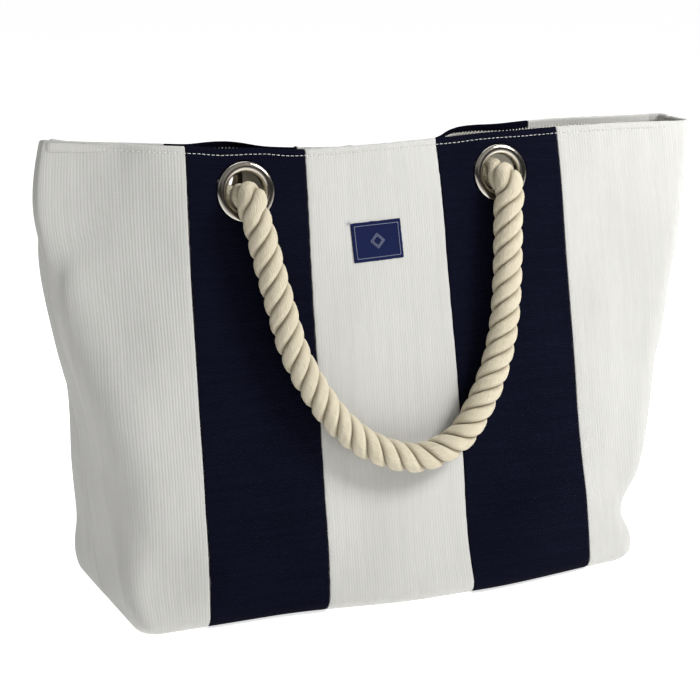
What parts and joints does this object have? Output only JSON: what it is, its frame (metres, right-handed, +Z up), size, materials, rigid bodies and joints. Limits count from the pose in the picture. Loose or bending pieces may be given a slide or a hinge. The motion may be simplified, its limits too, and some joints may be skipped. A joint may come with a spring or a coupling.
{
  "type": "beach tote bag",
  "caption": "Open-topped striped canvas beach bag with a boxed base, metal eyelets, and rope handles that swing up from each face.",
  "frame": {"origin": "centre of the base, on the surface the bag stands on", "axes": "+X across the bag's width, -Y out of the front face with the label, +Z up"},
  "size_m": [0.492, 0.1712, 0.325],
  "materials": {
    "white_canvas": "ribbed cotton canvas, matte",
    "navy_canvas": "ribbed cotton canvas, matte",
    "cream_lining": "plain cotton lining, matte",
    "white_thread": "spun thread",
    "nickel": "polished nickel plate",
    "cotton_rope": "three-strand twisted cotton, fuzzy",
    "label_cloth": "fine woven label",
    "label_thread": "spun thread"
  },
  "bodies": {
    "bag": {"front_white_strip_left": "white_canvas", "front_white_strip_centre": "white_canvas", "front_white_strip_right": "white_canvas", "back_white_strip_left": "white_canvas", "back_white_strip_centre": "white_canvas", "back_white_strip_right": "white_canvas", "front_navy_strip_left": "navy_canvas", "front_navy_strip_right": "navy_canvas", "back_navy_strip_left": "navy_canvas", "back_navy_strip_right": "navy_canvas", "front_lining": "cream_lining", "back_lining": "cream_lining", "front_hem_stitching": "white_thread", "back_hem_stitching": "white_thread", "front_eyelet_left": "nickel", "front_eyelet_right": "nickel", "back_eyelet_left": "nickel", "back_eyelet_right": "nickel", "front_washer_left": "nickel", "front_washer_right": "nickel", "back_washer_left": "nickel", "back_washer_right": "nickel", "front_rope_end_left": "cotton_rope", "front_rope_end_right": "cotton_rope", "back_rope_end_left": "cotton_rope", "back_rope_end_right": "cotton_rope", "front_rope_knot_left": "cotton_rope", "front_rope_knot_right": "cotton_rope", "back_rope_knot_left": "cotton_rope", "back_rope_knot_right": "cotton_rope", "woven_label": "label_cloth", "label_stitching": "label_thread"},
    "front_handle": {"front_rope_loop": "cotton_rope"},
    "back_handle": {"back_rope_loop": "cotton_rope"}
  },
  "joints": [
    {"name": "front_handle_swing", "type": "hinge", "parent": "bag", "child": "front_handle", "pos_m": [0, -0.04515, 0.29399], "axis": [-1, 0, 0], "range_deg": [0, 180]},
    {"name": "back_handle_swing", "type": "hinge", "parent": "bag", "child": "back_handle", "pos_m": [0, 0.04515, 0.29399], "axis": [1, 0, 0], "range_deg": [0, 180]}
  ]
}
